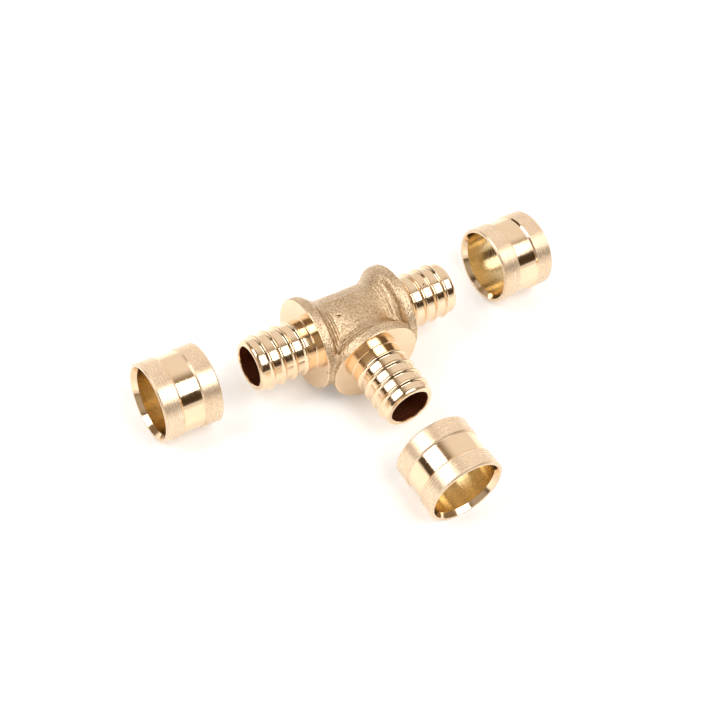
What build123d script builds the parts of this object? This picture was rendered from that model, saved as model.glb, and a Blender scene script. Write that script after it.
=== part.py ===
from build123d import *
import math
import os

os.makedirs("parts", exist_ok=True)

# Compression-sleeve tee for 3/4 inch cross-linked polyethylene pipe (22.2 mm outside, 2.5 mm wall).
# Frame: the run lies along X, the branch points to -Y, +Z is up, origin where the port axes cross. mm.

# ---- tee: overall ----
END = 37.6  # origin to each mouth
FACE = 17.15  # origin to each machined collar face
BODY_D = 23.6  # forged tube between the collars
COLLAR_D = 31.0  # forged collar rim
BORE_D = 13.5  # through bore of run and branch
CROTCH_BEND = 14.4  # bend radius of the swept blend between run and branch

# ---- tee: forged back of each collar, (distance from origin, radius) ----
BACK = [(8.6, 11.80), (9.6, 12.08), (10.4, 12.50), (11.4, 13.18), (12.4, 13.92), (13.2, 14.62), (13.7, 15.0)]
RIM_START = 14.35  # where the rim reaches full diameter
RIM_BREAK = 0.25  # turned edge between rim and face
GROOVES = [(12.62, 14.22, 0.50, 0.30), (10.02, 12.34, 0.48, 0.24)]  # distance, surface radius, section radius, depth
GROOVE_SHIFT = 0.22  # grooves of the run collars fade away from the branch side

# ---- tee: machined barb ----
ROOT_D = 17.4  # barb root, bore of the pipe
RIB_D = 18.8  # crests of the ribs
RIB_BASE = 1.5  # width of a rib at its root
RIB_CREST = 0.42  # flat on a rib
RIB_FIRST = 3.9  # collar face to the middle of the first rib
RIB_PITCH = 4.17
RIBS = 4
NECK_RISE = 0.05  # the neck is all but cylindrical
NECK_FILLET = 0.35
NOSE_LENGTH = 1.15  # lead-in at the mouth, along the axis
NOSE_DROP = 0.80  # and in radius
MOUTH_BREAK = 0.25  # edge break of the bore

# ---- compression sleeve ----
SLEEVE_L = 20.0
SLEEVE_D = 26.6
SLEEVE_BORE_D = 22.6  # slides over the pipe
SLEEVE_LIP_D = 24.3  # mouth of the lead-in chamfer
SLEEVE_LEAD = 1.75  # its length
SLEEVE_EDGE = 0.42  # outer edge chamfer
RECESS_D = 25.54  # polished centre band
RECESS_TOP = 7.9  # its length at the outer diameter
RECESS_BOTTOM = 6.85  # and at its floor

# ---- where the loose sleeves lie, on the surface the three collars rest on: x, y, turn about Z ----
SLEEVES = {
    "sleeve_left": (-62.2, 2.9, -0.8),
    "sleeve_right": (67.1, 3.2, 0.5),
    "sleeve_branch": (-1.0, -61.9, 90.0),
}


def port_profile():
    """Half section of one port, X along the port axis and Y the radius, closed on the axis."""
    root, crest = ROOT_D / 2, RIB_D / 2
    half_base, half_crest = RIB_BASE / 2, RIB_CREST / 2
    neck_end = FACE + RIB_FIRST - half_base
    flare_start = FACE + NECK_FILLET  # end of the fillet
    with BuildLine() as line:
        Line((0, 0), (0, BODY_D / 2))
        Line((0, BODY_D / 2), BACK[0])
        Spline(*BACK, tangents=[(1, 0), (1, 0.78)])
        Spline(BACK[-1], (13.95, 15.28), (RIM_START, COLLAR_D / 2), tangents=[(1, 0.78), (1, 0.0)])
        Line((RIM_START, COLLAR_D / 2), (FACE - RIM_BREAK, COLLAR_D / 2))
        Line((FACE - RIM_BREAK, COLLAR_D / 2), (FACE, COLLAR_D / 2 - RIM_BREAK))
        Line((FACE, COLLAR_D / 2 - RIM_BREAK), (FACE, root + NECK_RISE + NECK_FILLET))
        # neck fillet against the face, then the neck, straight to the first rib
        Spline(
            (FACE, root + NECK_RISE + NECK_FILLET),
            (FACE + NECK_FILLET * 0.30, root + NECK_RISE + NECK_FILLET * 0.28),
            (flare_start, root + NECK_RISE),
            tangents=[(0, -1), (1, -0.02)],
        )
        Line((flare_start, root + NECK_RISE), (neck_end, root))
        t = neck_end
        for i in range(RIBS):
            mid = FACE + RIB_FIRST + i * RIB_PITCH
            if i:
                Line((t, root), (mid - half_base, root))
            Line((mid - half_base, root), (mid - half_crest, crest))
            Line((mid - half_crest, crest), (mid + half_crest, crest))
            Line((mid + half_crest, crest), (mid + half_base, root))
            t = mid + half_base
        Line((t, root), (END - NOSE_LENGTH, root))
        Spline(
            (END - NOSE_LENGTH, root),
            (END - NOSE_LENGTH * 0.42, root - NOSE_DROP * 0.36),
            (END, root - NOSE_DROP),
            tangents=[(1, -0.12), (1, -1.6)],
        )
        Line((END, root - NOSE_DROP), (END, 0))
        Line((END, 0), (0, 0))
    return make_face(line.line)


def bore(length):
    """Bore cutter of one port with the edge break at its mouth, its seam on the branch side."""
    r = BORE_D / 2
    with BuildLine() as line:
        Polyline(
            (0, 0), (0, r), (length - MOUTH_BREAK, r), (length + 1, r + MOUTH_BREAK + 1), (length + 1, 0), (0, 0)
        )
    return Rot(180, 0, 0) * revolve(make_face(line.line), Axis.X)


def ring_groove(distance, surface_radius, section_radius, depth, shift):
    """Ring cutter round the port axis; shift moves it off the axis so the groove fades on one side."""
    centre = surface_radius + section_radius - depth
    ring = Pos(distance, 0, 0) * (Rot(0, 90, 0) * Torus(centre, section_radius))
    return Pos(0, shift, 0) * ring


def grooved_port(shift):
    solid = revolve(port_profile(), Axis.X)
    for distance, radius, section, depth in GROOVES:
        solid = solid - ring_groove(distance, radius, section, depth, shift)
    return solid


def elbow(side):
    """Quarter-bend blend between one half of the run and the branch."""
    section = Plane((side * CROTCH_BEND, 0, 0), z_dir=(1, 0, 0)) * Circle(BODY_D / 2 - 0.02)
    axis = Axis((side * CROTCH_BEND, -CROTCH_BEND, 0), (0, 0, 1))
    return revolve(section, axis, 90 if side > 0 else -90)


def tee():
    # the run grooves are deepest on the branch side (-Y) and run out behind
    right = grooved_port(-GROOVE_SHIFT)
    left = mirror(right, Plane.YZ)
    branch = Rot(0, 0, -90) * grooved_port(0)
    body = right + left + branch
    cut = bore(END) + mirror(bore(END), Plane.YZ) + Rot(0, 0, -90) * bore(END)
    return body, cut


def sleeve():
    r, b, lip = SLEEVE_D / 2, SLEEVE_BORE_D / 2, SLEEVE_LIP_D / 2
    h, f = SLEEVE_L / 2, RECESS_D / 2
    with BuildLine() as line:
        Polyline(
            (-h, lip),
            (-h, r - SLEEVE_EDGE),
            (-h + SLEEVE_EDGE, r),
            (-RECESS_TOP / 2, r),
            (-RECESS_BOTTOM / 2, f),
            (RECESS_BOTTOM / 2, f),
            (RECESS_TOP / 2, r),
            (h - SLEEVE_EDGE, r),
            (h, r - SLEEVE_EDGE),
            (h, lip),
            (h - SLEEVE_LEAD, b),
            (-h + SLEEVE_LEAD, b),
            (-h, lip),
        )
    return revolve(make_face(line.line), Axis.X)


if __name__ == "__main__":
    body, cut = tee()
    blended = body
    for side in (1, -1):
        blended = blended + elbow(side)
    print("blend volume", round(blended.volume - body.volume, 2), "solids", len(blended.solids()), blended.is_valid)
    tee_body = blended - cut
    print("tee", len(tee_body.solids()), tee_body.is_valid, round(tee_body.volume, 1), tee_body.bounding_box().size)
    export_step(tee_body, "parts/tee_body.step")

    rest = -(COLLAR_D - SLEEVE_D) / 2  # sleeves lie on the surface the collars stand on
    base = sleeve()
    for name, (x, y, turn) in SLEEVES.items():
        export_step(Pos(x, y, rest) * (Rot(0, 0, turn) * base), f"parts/{name}.step")
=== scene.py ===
import math

import bpy
import numpy as np
from mathutils import Matrix, Vector


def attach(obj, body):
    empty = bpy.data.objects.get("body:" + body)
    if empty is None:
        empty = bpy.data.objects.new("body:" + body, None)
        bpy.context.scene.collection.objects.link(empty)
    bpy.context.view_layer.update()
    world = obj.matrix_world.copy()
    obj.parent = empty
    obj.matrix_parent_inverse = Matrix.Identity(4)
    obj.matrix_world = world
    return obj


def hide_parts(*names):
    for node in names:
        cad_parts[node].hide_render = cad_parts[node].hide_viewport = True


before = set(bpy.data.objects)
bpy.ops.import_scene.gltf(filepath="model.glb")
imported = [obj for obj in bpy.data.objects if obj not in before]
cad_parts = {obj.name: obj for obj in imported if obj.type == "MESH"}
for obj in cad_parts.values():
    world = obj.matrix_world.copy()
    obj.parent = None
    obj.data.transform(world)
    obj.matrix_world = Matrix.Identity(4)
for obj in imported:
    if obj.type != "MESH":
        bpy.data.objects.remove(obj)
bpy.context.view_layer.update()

MM = 0.001

# ------------------------------------------------------------------ dimensions (mm), as in the CAD
END, FACE = 37.6, 17.15
BODY_R, COLLAR_R, BORE_R = 11.8, 15.5, 6.75
ROOT_R, RIB_R = 8.7, 9.4
RIB_BASE, RIB_CREST, RIB_FIRST, RIB_PITCH, RIBS = 1.5, 0.42, 3.9, 4.17, 4
SLEEVE_L, SLEEVE_R, SLEEVE_BORE_R = 20.0, 13.3, 11.3
REST_Z = -(COLLAR_R - SLEEVE_R)
FLOOR_Z = -COLLAR_R
SLEEVES = {"sleeve_left": (-62.2, 2.9, 179.2), "sleeve_right": (67.1, 3.2, 0.5), "sleeve_branch": (-1.0, -61.9, 270.0)}
CORE_END = 17.0  # the forged rim ends here, the turned face stands just proud of it


# ------------------------------------------------------------------ small numeric helpers
class Noise3:
    """Smooth lattice noise in about -1..1, the same every run."""

    def __init__(self, seed, n=64):
        self.n = n
        self.t = np.random.RandomState(seed).uniform(-1, 1, (n, n, n)).astype(np.float64)

    def __call__(self, p, wavelength):
        q = p / wavelength
        i = np.floor(q).astype(int)
        f = q - i
        f = f * f * (3 - 2 * f)
        out = 0
        for dx in (0, 1):
            wx = f[:, 0] if dx else 1 - f[:, 0]
            for dy in (0, 1):
                wy = f[:, 1] if dy else 1 - f[:, 1]
                for dz in (0, 1):
                    wz = f[:, 2] if dz else 1 - f[:, 2]
                    out = out + wx * wy * wz * self.t[(i[:, 0] + dx) % self.n, (i[:, 1] + dy) % self.n, (i[:, 2] + dz) % self.n]
        return out


def smoothstep(a, b, x):
    t = np.clip((x - a) / (b - a), 0, 1)
    return t * t * (3 - 2 * t)


def round_path(points, closed=True, support=0.035, steps=5):
    """points: (t, r, fillet radius[, tag]). Returns dense [(t, r, tag)] with arcs at the corners and a support point each side."""
    out = []
    n = len(points)
    for i in range(n):
        p = np.array(points[i][:2], float)
        rad = points[i][2]
        tag = points[i][3] if len(points[i]) > 3 else 0
        if not closed and i in (0, n - 1):
            out.append((p[0], p[1], tag))
            continue
        a = np.array(points[i - 1][:2], float) - p
        b = np.array(points[(i + 1) % n][:2], float) - p
        la, lb = np.linalg.norm(a), np.linalg.norm(b)
        a, b = a / la, b / lb
        ang = math.acos(max(-1, min(1, float(a @ b))))
        if rad <= 0 or ang > math.pi - 0.02:
            out.append((p[0], p[1], tag))
            continue
        d = min(rad / math.tan(ang / 2), 0.46 * la, 0.46 * lb)
        r = d * math.tan(ang / 2)
        s = min(support, 0.3 * d + 0.01)
        out.append((*(p + a * (d + s)), tag))
        bis = (a + b) / np.linalg.norm(a + b)
        c = p + bis * (r / math.sin(ang / 2))
        pa, pb = p + a * d, p + b * d
        va, vb = pa - c, pb - c
        sweep = math.pi - ang
        cross = va[0] * vb[1] - va[1] * vb[0]
        k = max(2, int(round(steps * sweep / (math.pi / 2))) + 1)
        for j in range(k + 1):
            th = sweep * j / k * (1 if cross > 0 else -1)
            co, si = math.cos(th), math.sin(th)
            v = np.array([va[0] * co - va[1] * si, va[0] * si + va[1] * co])
            out.append((*(c + v), tag))
        out.append((*(p + b * (d + s)), tag))
    return out


def densify(path, longest, closed=True):
    out = []
    n = len(path)
    for i in range(n if closed else n - 1):
        a, b = path[i], path[(i + 1) % n]
        out.append(a)
        length = math.hypot(b[0] - a[0], b[1] - a[1])
        k = int(length / longest)
        for j in range(1, k + 1):
            f = j / (k + 1)
            out.append((a[0] + (b[0] - a[0]) * f, a[1] + (b[1] - a[1]) * f, b[2] if False else a[2]))
    if not closed:
        out.append(path[-1])
    return out


def new_object(name, verts_mm, faces, materials, face_mats=None, attrs=None):
    me = bpy.data.meshes.new(name)
    me.from_pydata([tuple(v) for v in np.asarray(verts_mm) * MM], [], faces)
    for m in materials:
        me.materials.append(m)
    if face_mats is not None:
        me.polygons.foreach_set("material_index", np.asarray(face_mats, dtype=np.int32))
    me.polygons.foreach_set("use_smooth", np.ones(len(me.polygons), dtype=bool))
    for key, values in (attrs or {}).items():
        at = me.attributes.new(key, "FLOAT", "POINT")
        at.data.foreach_set("value", np.asarray(values, dtype=np.float32))
    me.validate()
    me.update()
    ob = bpy.data.objects.new(name, me)
    bpy.context.scene.collection.objects.link(ob)
    return ob


def lathe(name, path, origin, direction, segments, materials, wobble=None):
    """Ring of revolution of a closed path [(t, r, material)], t along direction from origin (mm)."""
    d = np.array(direction, float)
    d /= np.linalg.norm(d)
    up = np.array([0.0, 0.0, 1.0])
    side = np.cross(up, d)
    n = len(path)
    t = np.array([p[0] for p in path])
    r = np.array([p[1] for p in path])
    tag = np.array([p[2] for p in path], int)
    seg_len = np.hypot(np.diff(np.append(t, t[0])), np.diff(np.append(r, r[0])))
    arc = np.concatenate([[0], np.cumsum(seg_len)[:-1]])
    area = float(np.sum(t * np.roll(r, -1) - np.roll(t, -1) * r))
    ang = np.arange(segments) * 2 * math.pi / segments
    verts = np.empty((segments, n, 3))
    for j, a in enumerate(ang):
        rad = math.cos(a) * up + math.sin(a) * side
        verts[j] = np.array(origin) + np.outer(t, d) + np.outer(r, rad)
    verts = verts.reshape(-1, 3)
    if wobble is not None:
        verts = wobble(verts, np.tile(t, segments), np.tile(r, segments))
    faces, mats = [], []
    for j in range(segments):
        k = (j + 1) % segments
        for i in range(n):
            m = (i + 1) % n
            q = (j * n + i, j * n + m, k * n + m, k * n + i)
            faces.append(q if area < 0 else q[::-1])
            mats.append(tag[i])
    return new_object(name, verts, faces, materials, mats, {"arc": np.tile(arc, segments), "radial": np.tile(r, segments)})


# ------------------------------------------------------------------ node materials
def nodes_of(mat):
    mat.use_nodes = True
    nt = mat.node_tree
    nt.nodes.clear()
    out = nt.nodes.new("ShaderNodeOutputMaterial")
    bsdf = nt.nodes.new("ShaderNodeBsdfPrincipled")
    nt.links.new(bsdf.outputs[0], out.inputs[0])
    return nt, bsdf


def add(nt, kind, **props):
    node = nt.nodes.new(kind)
    for key, value in props.items():
        if key in ("operation", "noise_dimensions", "attribute_name", "blend_type", "data_type", "feature", "distance", "interpolation_type", "wave_type", "bands_direction", "clamp"):
            setattr(node, key, value)
        else:
            node.inputs[key.replace("_", " ")].default_value = value
    return node


def mathn(nt, op, a, b=None, c=None):
    node = nt.nodes.new("ShaderNodeMath")
    node.operation = op
    for i, v in enumerate((a, b, c)):
        if v is None:
            continue
        if isinstance(v, (int, float)):
            node.inputs[i].default_value = v
        else:
            nt.links.new(v, node.inputs[i])
    return node.outputs[0]


def ramp(nt, fac, lo, hi, to_lo=0.0, to_hi=1.0, smooth=True):
    node = nt.nodes.new("ShaderNodeMapRange")
    node.interpolation_type = "SMOOTHSTEP" if smooth else "LINEAR"
    node.inputs["From Min"].default_value = lo
    node.inputs["From Max"].default_value = hi
    node.inputs["To Min"].default_value = to_lo
    node.inputs["To Max"].default_value = to_hi
    nt.links.new(fac, node.inputs["Value"])
    return node.outputs["Result"]


def mixc(nt, fac, a, b, blend="MIX"):
    node = nt.nodes.new("ShaderNodeMix")
    node.data_type = "RGBA"
    node.blend_type = blend
    for sock, v in ((node.inputs[0], fac), (node.inputs[6], a), (node.inputs[7], b)):
        if isinstance(v, (int, float)):
            sock.default_value = v
        elif isinstance(v, tuple):
            sock.default_value = (*v, 1.0)
        else:
            nt.links.new(v, sock)
    return node.outputs[2]


def noise(nt, vec, scale, detail=2.0, rough=0.5, dims="3D", w=None):
    node = nt.nodes.new("ShaderNodeTexNoise")
    node.noise_dimensions = dims
    node.inputs["Scale"].default_value = scale
    node.inputs["Detail"].default_value = detail
    node.inputs["Roughness"].default_value = rough
    if vec is not None:
        nt.links.new(vec, node.inputs["Vector"])
    if w is not None:
        nt.links.new(w, node.inputs["W"])
    return node.outputs["Fac"]


def spot(nt, vec, at_mm, radius_mm, soft=0.4):
    """Mask that is 1 within radius of a point on the surface (mm, object space)."""
    sub = nt.nodes.new("ShaderNodeVectorMath")
    sub.operation = "DISTANCE"
    nt.links.new(vec, sub.inputs[0])
    sub.inputs[1].default_value = tuple(v * MM for v in at_mm)
    return ramp(nt, sub.outputs["Value"], radius_mm * MM * (1 - soft), radius_mm * MM * (1 + soft), 1.0, 0.0)


def bump(nt, height, distance, strength=1.0, normal=None):
    node = nt.nodes.new("ShaderNodeBump")
    node.inputs["Distance"].default_value = distance
    node.inputs["Strength"].default_value = strength
    nt.links.new(height, node.inputs["Height"])
    if normal is not None:
        nt.links.new(normal, node.inputs["Normal"])
    return node.outputs[0]


def forged_material(pits):
    """Sandblasted forging: fine grain, tone that wanders, a few dark pits, and painted shade that darkens the hollows
    and the crotch.
    """
    mat = bpy.data.materials.new("forged_brass")
    nt, b = nodes_of(mat)
    b.inputs["Metallic"].default_value = 1.0
    co = nt.nodes.new("ShaderNodeTexCoord").outputs["Object"]
    cavity_shade = nt.nodes.new("ShaderNodeAttribute")
    cavity_shade.attribute_name = "cavity_shade"
    cavity_shade = cavity_shade.outputs["Fac"]
    grain = noise(nt, co, 2500, 2.0, 0.6)
    coarse = noise(nt, co, 1050, 2.0, 0.5)
    patch = noise(nt, co, 120, 3.0, 0.55)
    speck = noise(nt, co, 2000, 1.5, 0.5)
    tone = mixc(nt, ramp(nt, patch, 0.35, 0.68), (0.76, 0.57, 0.37), (0.90, 0.70, 0.49))
    tone = mixc(nt, ramp(nt, grain, 0.38, 0.60), mixc(nt, 0.75, tone, (0.33, 0.21, 0.10)), tone)
    tone = mixc(nt, ramp(nt, speck, 0.60, 0.70, 0.0, 0.7), tone, (1.0, 0.86, 0.66))
    # painted shade: the deeper a point sits in a hollow or the crotch, the more its colour is pulled toward dark brown
    tone = mixc(nt, ramp(nt, cavity_shade, 0.12, 0.6, 0.0, 0.6), tone, (0.34, 0.21, 0.10))
    mask = None
    for at, rad in pits:
        m = spot(nt, co, at, rad)
        mask = m if mask is None else mathn(nt, "MAXIMUM", mask, m)
    if mask is not None:
        tone = mixc(nt, mask, tone, (0.12, 0.07, 0.03))
    nt.links.new(tone, b.inputs["Base Color"])
    nt.links.new(ramp(nt, coarse, 0.3, 0.7, 0.27, 0.42), b.inputs["Roughness"])
    h = mathn(nt, "ADD", mathn(nt, "MULTIPLY", grain, 0.75), mathn(nt, "MULTIPLY", coarse, 0.9))
    nt.links.new(bump(nt, h, 0.00023, 1.0), b.inputs["Normal"])
    return mat


def turned_material(name, lo, hi, rough, line_mm, line_depth, rough_var=0.05, wave_mm=None, wave_depth=0.0, marks=(), cloud=0.5, grain_depth=0.0, metal=1.0, ring_tone=0.25, speck=0.0):
    """Turned brass: fine rings along the turning direction, tone and gloss that wander a little."""
    mat = bpy.data.materials.new(name)
    nt, b = nodes_of(mat)
    b.inputs["Metallic"].default_value = metal
    co = nt.nodes.new("ShaderNodeTexCoord").outputs["Object"]
    arc = nt.nodes.new("ShaderNodeAttribute")
    arc.attribute_name = "arc"
    arc = arc.outputs["Fac"]
    ring = noise(nt, None, 1.0 / line_mm, 2.0, 0.55, "1D", arc)
    ring2 = noise(nt, None, 0.23 / line_mm, 1.0, 0.5, "1D", mathn(nt, "ADD", arc, 11.7))
    patch = noise(nt, co, 160, 3.0, 0.6)
    tone = mixc(nt, ramp(nt, patch, 0.3, 0.7, 0.0, cloud), hi, lo)
    tone = mixc(nt, ramp(nt, ring, 0.35, 0.7, 0.0, ring_tone), tone, lo)
    if speck:
        dark = tuple(0.62 * c for c in lo)
        tone = mixc(nt, ramp(nt, noise(nt, co, 1650, 2.0, 0.65), 0.38, 0.66, 0.0, speck), tone, dark)
    for at, rad in marks:
        tone = mixc(nt, spot(nt, co, at, rad), tone, (0.03, 0.02, 0.012))
    nt.links.new(tone, b.inputs["Base Color"])
    r1 = ramp(nt, ring2, 0.3, 0.7, rough - rough_var, rough + rough_var)
    r2 = ramp(nt, patch, 0.35, 0.7, -rough_var * 0.6, rough_var * 0.6)
    nt.links.new(mathn(nt, "MAXIMUM", mathn(nt, "ADD", r1, r2), 0.03), b.inputs["Roughness"])
    h = mathn(nt, "ADD", mathn(nt, "MULTIPLY", ring, 0.6), mathn(nt, "MULTIPLY", ring2, 0.8))
    n = bump(nt, h, line_depth, 1.0)
    if wave_mm:
        slow = noise(nt, None, 1.0 / wave_mm, 1.0, 0.4, "1D", arc)
        n = bump(nt, slow, wave_depth, 1.0, n)
    if grain_depth:
        n = bump(nt, noise(nt, co, 2300, 2.0, 0.6), grain_depth, 1.0, n)
    nt.links.new(n, b.inputs["Normal"])
    return mat


# ------------------------------------------------------------------ forged core of the tee, as a blended implicit solid
K = 0.98
SMOOTH_BACK = [(8.6, 12.04), (9.0, 12.1), (9.5, 12.25), (10.0, 12.48), (10.5, 12.8), (11.0, 13.1), (11.5, 13.42), (12.0, 13.75), (12.5, 14.12), (13.0, 14.5), (13.5, 15.0), (14.0, 15.45), (14.5, 15.75)]
STEP_BACK = [(9.2, 12.04), (9.6, 12.15), (9.9, 12.58), (10.15, 12.42), (10.5, 12.52), (10.85, 12.9), (11.1, 13.3), (11.4, 13.15), (11.9, 13.38), (12.3, 13.7), (12.55, 14.08), (12.85, 13.72), (13.1, 13.8), (13.4, 14.5), (13.75, 15.2), (14.2, 15.65), (14.6, 15.8)]


def signed_2d(poly, t_axis, r_axis):
    T, R = np.meshgrid(t_axis, r_axis, indexing="ij")
    P = np.stack([T.ravel(), R.ravel()], 1)
    dist = np.full(len(P), 1e9)
    inside = np.zeros(len(P), bool)
    n = len(poly)
    for i in range(n):
        a, b = np.array(poly[i]), np.array(poly[(i + 1) % n])
        ab = b - a
        s = np.clip(((P - a) @ ab) / max(ab @ ab, 1e-12), 0, 1)
        dist = np.minimum(dist, np.hypot(*(P - a - s[:, None] * ab).T))
        cond = (a[1] > P[:, 1]) != (b[1] > P[:, 1])
        xx = (b[0] - a[0]) * (P[:, 1] - a[1]) / (b[1] - a[1] + 1e-30) + a[0]
        inside ^= cond & (P[:, 0] < xx)
    return (np.where(inside, -dist, dist)).reshape(T.shape)


T_AX = np.arange(-4.0, 21.0, 0.06)
R_AX = np.arange(-3.0, 20.0, 0.06)


def profile_field(back):
    pts = [(t * K, r * K) for t, r in back]
    path = [(-30.0, -30.0), (-30.0, BODY_R), (7.0, BODY_R)] + pts
    path += [(14.9, COLLAR_R), (CORE_END - 0.12, COLLAR_R), (CORE_END, COLLAR_R - 0.12), (CORE_END, -30.0)]
    return signed_2d(path, T_AX, R_AX)


FIELD_A, FIELD_B = profile_field(SMOOTH_BACK), profile_field(STEP_BACK)


def sample(field, t, r):
    x = np.clip((t - T_AX[0]) / (T_AX[1] - T_AX[0]), 0, len(T_AX) - 1.001)
    y = np.clip((r - R_AX[0]) / (R_AX[1] - R_AX[0]), 0, len(R_AX) - 1.001)
    i, j = x.astype(int), y.astype(int)
    fx, fy = x - i, y - j
    return field[i, j] * (1 - fx) * (1 - fy) + field[i + 1, j] * fx * (1 - fy) + field[i, j + 1] * (1 - fx) * fy + field[i + 1, j + 1] * fx * fy


def smin(a, b, k):
    h = np.clip(0.5 + 0.5 * (b - a) / k, 0, 1)
    return b + (a - b) * h - k * h * (1 - h)


def core_field(p):
    x, y, z = p[:, 0], p[:, 1], p[:, 2]
    ry = np.hypot(y, z)
    rx = np.hypot(x, z)
    t_run = np.abs(x)
    w_run = smoothstep(-0.45, 0.10, -y / np.maximum(ry, 1e-6))
    w_run = w_run * np.where(x < 0, 0.2 + 0.8 * smoothstep(0.3, 3.2, np.abs(np.abs(x) + y)), 1.0)
    run = sample(FIELD_A, t_run, ry) * (1 - w_run) + sample(FIELD_B, t_run, ry) * w_run
    w_br = 0.25 + 0.75 * smoothstep(0.45, -0.55, x / np.maximum(rx, 1e-6))
    t_br = -y
    # the steps run out where the left run collar and the branch collar meet
    meet = np.where(x < 0, smoothstep(0.3, 3.2, np.abs(np.abs(x) + y)), 1.0)
    w_br = w_br * (0.25 + 0.75 * meet)
    br = sample(FIELD_A, t_br, rx) * (1 - w_br) + sample(FIELD_B, t_br, rx) * w_br
    br = np.maximum(br, y - 3.0)
    # soft crotch near the tubes, tighter where the rims run into each other
    edge = smoothstep(11.0, 15.0, np.maximum(np.abs(x), -y))
    f = smin(run, br, 2.6 - 1.5 * edge)
    f = np.maximum(f, -(CORE_END) + np.abs(x) * 0 + np.maximum(np.abs(x), -y))
    bore_run = np.where(t_run < 16.2, BORE_R, BORE_R + 0.1) - ry
    bore_br = np.where(t_br < 16.2, BORE_R, BORE_R + 0.1) - rx
    bore_br = np.where(y < 0, bore_br, BORE_R - np.hypot(rx, np.maximum(y, 0)))
    return np.maximum(f, np.maximum(bore_run, bore_br))


def surface_nets(field, lo, hi, h):
    axes = [np.arange(lo[i], hi[i] + h, h) for i in range(3)]
    nx, ny, nz = (len(a) for a in axes)
    G = np.stack(np.meshgrid(*axes, indexing="ij"), -1).reshape(-1, 3)
    F = np.concatenate([field(c) for c in np.array_split(G, 12)]).reshape(nx, ny, nz)
    F = np.where(np.abs(F) < 1e-9, 1e-9, F)
    inside = F < 0
    cell = (nx - 1, ny - 1, nz - 1)
    total = np.zeros((*cell, 3))
    count = np.zeros(cell)
    for ax in range(3):
        a = [slice(None)] * 3
        b = [slice(None)] * 3
        a[ax], b[ax] = slice(0, -1), slice(1, None)
        fa, fb = F[tuple(a)], F[tuple(b)]
        cross = (fa < 0) != (fb < 0)
        s = np.where(cross, fa / np.where(cross, fa - fb, 1), 0)
        o1, o2 = [i for i in range(3) if i != ax]
        for d1 in (0, 1):
            for d2 in (0, 1):
                sl = [slice(None)] * 3
                sl[o1] = slice(d1, F.shape[o1] - 1 + d1)
                sl[o2] = slice(d2, F.shape[o2] - 1 + d2)
                c = cross[tuple(sl)]
                total[..., ax] += np.where(c, s[tuple(sl)], 0)
                total[..., o1] += c * d1
                total[..., o2] += c * d2
                count += c
    used = count > 0
    index = -np.ones(cell, int)
    index[used] = np.arange(used.sum())
    ijk = np.argwhere(used)
    verts = np.array(lo) + (ijk + total[used] / count[used][:, None]) * h
    quads = []
    for ax in range(3):
        a = [slice(None)] * 3
        b = [slice(None)] * 3
        a[ax], b[ax] = slice(0, -1), slice(1, None)
        fa, fb = inside[tuple(a)], inside[tuple(b)]
        e = np.argwhere(fa != fb)
        flip = fa[tuple(e.T)]
        o1, o2 = (ax + 1) % 3, (ax + 2) % 3
        ok = (e[:, o1] > 0) & (e[:, o2] > 0) & (e[:, o1] < cell[o1]) & (e[:, o2] < cell[o2])
        e, flip = e[ok], flip[ok]
        corners = []
        for d1, d2 in ((0, 0), (1, 0), (1, 1), (0, 1)):
            c = e.copy()
            c[:, o1] -= 1 - d1
            c[:, o2] -= 1 - d2
            corners.append(index[tuple(c.T)])
        q = np.stack(corners, 1)
        q[~flip] = q[~flip][:, ::-1]
        quads.append(q)
    return verts, np.concatenate(quads)


def gradient(field, p, e=0.02):
    g = np.zeros_like(p)
    for i in range(3):
        d = np.zeros(3)
        d[i] = e
        g[:, i] = (field(p + d) - field(p - d)) / (2 * e)
    return g


PITS_CORE = [((-6.5, -2.55, 11.5), 0.40), ((-7.1, -2.3, 11.55), 0.26), ((0.9, -1.25, 11.75), 0.34), ((-6.0, -12.1, 12.1), 0.34)]


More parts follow.
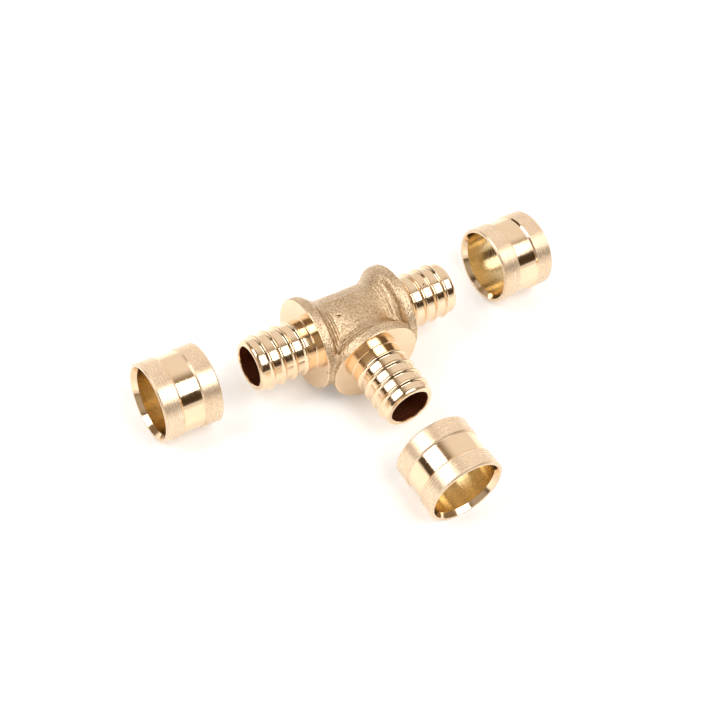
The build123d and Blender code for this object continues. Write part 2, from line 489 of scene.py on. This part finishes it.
def make_core(material):
    lo, hi = (-17.6, -17.6, -16.1), (17.6, 16.1, 16.1)
    h = 0.27
    v, q = surface_nets(core_field, lo, hi, h)
    for _ in range(2):
        g = gradient(core_field, v)
        f = core_field(v)
        step = g * (f / np.maximum((g * g).sum(1), 0.2))[:, None]
        v = v - np.clip(step, -0.12, 0.12)
    g = gradient(core_field, v)
    nrm = g / np.maximum(np.linalg.norm(g, axis=1), 1e-6)[:, None]
    x, y = v[:, 0], v[:, 1]
    reach = np.maximum(np.abs(x), -y)
    inner = np.minimum(np.hypot(v[:, 1], v[:, 2]), np.hypot(v[:, 0], v[:, 2]))
    rough = smoothstep(CORE_END, CORE_END - 0.35, reach)
    in_bore = smoothstep(BORE_R + 1.2, BORE_R + 0.5, inner)
    big = np.where((np.hypot(v[:, 1], v[:, 2]) > 9) & ((y > 0) | (np.hypot(v[:, 0], v[:, 2]) > 9)), 1.0, 1 - in_bore)
    rough = rough * big
    n1, n2 = Noise3(11), Noise3(23)
    disp = 0.022 * n1(v + 100, 0.62) + 0.028 * n2(v + 100, 1.35) + 0.05 * n1(v + 60, 4.6) + 0.04 * n2(v + 30, 9.0)
    disp *= rough
    for at, rad in PITS_CORE:
        d = np.linalg.norm(v - np.array(at), axis=1)
        disp -= 0.28 * np.exp(-((d / rad) ** 2)) * rough
    v = v + nrm * disp[:, None]
    v[:, 2] = np.maximum(v[:, 2], FLOOR_Z)
    # how far a point sits inside a hollow; the forged material paints shade from this value
    cavity_shade = 1 - core_field(v + 0.7 * nrm) / 0.7
    ob = new_object("tee_forging", v, q.tolist(), [material], None, {"cavity_shade": np.clip(cavity_shade, 0, 1) * rough})
    tris = 2 * len(q)
    if tris > 186000:
        mod = ob.modifiers.new("fewer", "DECIMATE")
        mod.ratio = 186000 / tris
        mod.use_collapse_triangulate = True
        dg = bpy.context.evaluated_depsgraph_get()
        me = bpy.data.meshes.new_from_object(ob.evaluated_get(dg))
        ob.modifiers.clear()
        old = ob.data
        ob.data = me
        bpy.data.meshes.remove(old)
        me.name = "tee_forging"
        me.polygons.foreach_set("use_smooth", np.ones(len(me.polygons), dtype=bool))
    return ob


# ------------------------------------------------------------------ turned port: face, neck, ribs, nose, bore
NECK_FILLET = 0.35
NECK_RISE = (0.0, 0.05)  # straight and curved share of the flare


def port_path():
    TURNED, BORE = 0, 1
    face = FACE
    neck_end = face + RIB_FIRST - RIB_BASE / 2
    pts = [(16.5, COLLAR_R - 0.14, 0, TURNED), (face, COLLAR_R - 0.14, 0.16, TURNED)]
    pts += [(face, ROOT_R + sum(NECK_RISE) + 0.08, NECK_FILLET, TURNED)]
    for i in range(1, 14):
        s = i / 14
        rise = NECK_RISE[0] * (1 - s) + NECK_RISE[1] * (1 - s) ** 1.7
        pts.append((face + NECK_FILLET + (neck_end - face - NECK_FILLET) * s, ROOT_R + rise, 0, TURNED))
    for i in range(RIBS):
        mid = face + RIB_FIRST + i * RIB_PITCH
        pts += [
            (mid - RIB_BASE / 2, ROOT_R, 0.42, TURNED),
            (mid - RIB_CREST / 2, RIB_R, 0.30, TURNED),
            (mid + RIB_CREST / 2, RIB_R, 0.30, TURNED),
            (mid + RIB_BASE / 2, ROOT_R, 0.42, TURNED),
        ]
    pts += [(END - 1.05, ROOT_R, 1.2, TURNED), (END - 0.36, ROOT_R - 0.28, 0.5, TURNED), (END, ROOT_R - 0.80, 0.12, TURNED)]
    pts += [(END, BORE_R + 0.28, 0.05, TURNED), (END - 0.25, BORE_R, 0.06, BORE), (16.5, BORE_R, 0, BORE)]
    return densify(round_path(pts), 0.9)


def sleeve_path():
    BAND, POLISH, BORE = 0, 1, 2
    h, r, f, b, lip = SLEEVE_L / 2, SLEEVE_R, 12.77, SLEEVE_BORE_R, 12.15
    pts = [
        (-h, lip, 0.06, BAND), (-h, r - 0.42, 0.10, BAND), (-h + 0.42, r, 0.14, BAND),
        (-3.97, r, 0.05, BAND), (-3.41, f, 0.06, POLISH), (3.41, f, 0.06, POLISH), (3.97, r, 0.05, BAND),
        (h - 0.42, r, 0.14, BAND), (h, r - 0.42, 0.10, BAND), (h, lip, 0.06, POLISH),
        (h - 1.75, b, 0.12, BORE), (-h + 1.75, b, 0.12, POLISH),
    ]
    return densify(round_path(pts), 0.8)


SEG = 288
forged = forged_material(PITS_CORE)
PORTS = {"left": (-1, 0, 0), "right": (1, 0, 0), "branch": (0, -1, 0)}
MARKS = {"left": [((-FACE, -14.7, 1.7), 0.36)], "right": [((27.35, -1.75, 8.52), 0.3)], "branch": []}
pieces = []
tee_pieces = []
core = make_core(forged)
tee_pieces.append(core)
for side, direction in PORTS.items():
    turned = turned_material(f"turned_port_{side}", (0.83, 0.62, 0.40), (0.92, 0.72, 0.50), 0.155, 0.10, 0.0000022, 0.035, 1.1, 0.000004, MARKS[side], grain_depth=0.000004)
    # painted shade: the bore's base colour is dark red-brown to stand in for the shade inside the tube, not the brass's
    # own colour
    shaded_bore = turned_material(f"bore_painted_shade_{side}", (0.26, 0.065, 0.028), (0.48, 0.17, 0.07), 0.20, 0.16, 0.000006, 0.06, metal=0.85)
    tee_pieces.append(lathe(f"turned_port_{side}", port_path(), (0, 0, 0), direction, SEG, [turned, shaded_bore]))

band = turned_material("sleeve_band", (0.84, 0.63, 0.42), (0.95, 0.74, 0.52), 0.28, 0.05, 0.0000001, 0.006, cloud=0.7, grain_depth=0.000055, metal=0.62, ring_tone=0.0, speck=0.48)
polish = turned_material("sleeve_groove", (0.87, 0.65, 0.42), (0.95, 0.74, 0.51), 0.13, 0.12, 0.0000012, 0.03, cloud=0.4, grain_depth=0.0000025)
inner = turned_material("sleeve_bore", (0.70, 0.51, 0.25), (0.82, 0.64, 0.36), 0.22, 0.14, 0.000003, 0.04, cloud=0.6, grain_depth=0.000008, speck=0.45)
for node, (x, y, turn) in SLEEVES.items():
    a = math.radians(turn)
    ob = lathe(f"{node}_turned", sleeve_path(), (x, y, REST_Z), (math.cos(a), math.sin(a), 0), SEG, [band, polish, inner])
    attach(ob, "root")
    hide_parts(node)
for ob in tee_pieces:
    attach(ob, "root")
    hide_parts("tee_body")

# ------------------------------------------------------------------ floor, lights, camera
def floor():
    s = 2.5
    me = bpy.data.meshes.new("floor")
    me.from_pydata([(-s, -s, FLOOR_Z * MM), (s, -s, FLOOR_Z * MM), (s, s, FLOOR_Z * MM), (-s, s, FLOOR_Z * MM)], [], [(0, 1, 2, 3)])
    ob = bpy.data.objects.new("floor", me)
    bpy.context.scene.collection.objects.link(ob)
    mat = bpy.data.materials.new("floor_paper")
    nt, b = nodes_of(mat)
    co = nt.nodes.new("ShaderNodeTexCoord").outputs["Object"]
    nt.links.new(mixc(nt, noise(nt, co, 14, 3.0, 0.5), (0.90, 0.90, 0.90), (0.93, 0.93, 0.925)), b.inputs["Base Color"])
    b.inputs["Roughness"].default_value = 0.9
    b.inputs["Specular IOR Level"].default_value = 0.15
    b.inputs["Emission Color"].default_value = (0.96, 0.985, 1.0, 1.0)
    b.inputs["Emission Strength"].default_value = 0.22
    me.materials.append(mat)


floor()


def softbox(name, toward, distance, width, height, radiance, along, color=(1, 1, 1)):
    d = Vector(toward).normalized()
    data = bpy.data.lights.new(name, "AREA")
    data.shape = "RECTANGLE"
    data.size, data.size_y = width, height
    data.energy = radiance * math.pi * width * height
    data.color = color
    ob = bpy.data.objects.new(name, data)
    x = Vector(along)
    x = (x - d * x.dot(d)).normalized()
    y = d.cross(x)
    ob.matrix_world = Matrix(((x.x, y.x, d.x, d.x * distance), (x.y, y.y, d.y, d.y * distance), (x.z, y.z, d.z, d.z * distance), (0, 0, 0, 1)))
    ob.visible_camera = False
    bpy.context.scene.collection.objects.link(ob)
    return ob


softbox("softbox_right", (0.235, -0.482, 0.844), 1.215, 0.88, 0.75, 4.6, (1, 0, 0))
softbox("softbox_left", (-0.642, 0.28, 0.713), 1.2, 0.66, 0.90, 4.6, (0, 1, 0))

# the room: brown-dark in front and to the left, a pale sweep behind and overhead, white table edge low down
world = bpy.data.worlds.new("room")
bpy.context.scene.world = world
world.use_nodes = True
wt = world.node_tree
back = wt.nodes["Background"]
way = wt.nodes.new("ShaderNodeTexCoord").outputs["Generated"]


def toward(direction):
    node = wt.nodes.new("ShaderNodeVectorMath")
    node.operation = "DOT_PRODUCT"
    wt.links.new(way, node.inputs[0])
    node.inputs[1].default_value = direction
    return node.outputs["Value"]


sweep = toward((0.6, 0.6, 0.5))
room = mixc(wt, ramp(wt, sweep, 0.20, 0.56), (0.060, 0.034, 0.014), (0.24, 0.17, 0.10))
room = mixc(wt, ramp(wt, sweep, 0.57, 0.84), room, (0.94, 0.88, 0.83))
room = mixc(wt, ramp(wt, toward((-0.60, -0.55, 0.58)), 0.80, 0.97, 0.0, 0.7), room, (0.62, 0.54, 0.44))
split = wt.nodes.new("ShaderNodeSeparateXYZ")
wt.links.new(way, split.inputs[0])
edge = mathn(wt, "SUBTRACT", split.outputs[2], mathn(wt, "MULTIPLY", mathn(wt, "MULTIPLY", split.outputs[1], split.outputs[1]), 0.16))
room = mixc(wt, ramp(wt, edge, 0.02, 0.045, 1.0, 0.0), room, (0.94, 0.89, 0.84))
wt.links.new(room, back.inputs[0])
back.inputs[1].default_value = 1.0

AZ, EL, ROLL = (math.radians(v) for v in (-39.0903480491976, 49.8692416147021, 9.45140584085214))
UNIT = 0.98 * MM
DIST, SCALE, CX, CY = 1 / 0.001782597927905016, 2.976419105118287, 348.45037796144425, 325.78228769602737
d = Vector((math.cos(EL) * math.sin(AZ), -math.cos(EL) * math.cos(AZ), math.sin(EL)))
fwd = -d
right = fwd.cross(Vector((0, 0, 1))).normalized()
up = right.cross(fwd)
cr, sr = math.cos(ROLL), math.sin(ROLL)
X, Y = cr * right + sr * up, -sr * right + cr * up
cam_data = bpy.data.cameras.new("camera")
cam_data.sensor_width = 36.0
cam_data.sensor_fit = "HORIZONTAL"
cam_data.lens = SCALE * DIST / 720 * 36
cam_data.shift_x = (360 - CX) / 720
cam_data.shift_y = (CY - 360) / 720
cam_data.clip_start, cam_data.clip_end = 0.01, 20
cam = bpy.data.objects.new("camera", cam_data)
P = d * DIST * UNIT
cam.matrix_world = Matrix(((X.x, Y.x, d.x, P.x), (X.y, Y.y, d.y, P.y), (X.z, Y.z, d.z, P.z), (0, 0, 0, 1)))
bpy.context.scene.collection.objects.link(cam)
bpy.context.scene.camera = cam
bpy.context.scene.view_settings.view_transform = "Standard"
bpy.context.scene.view_settings.look = "None"
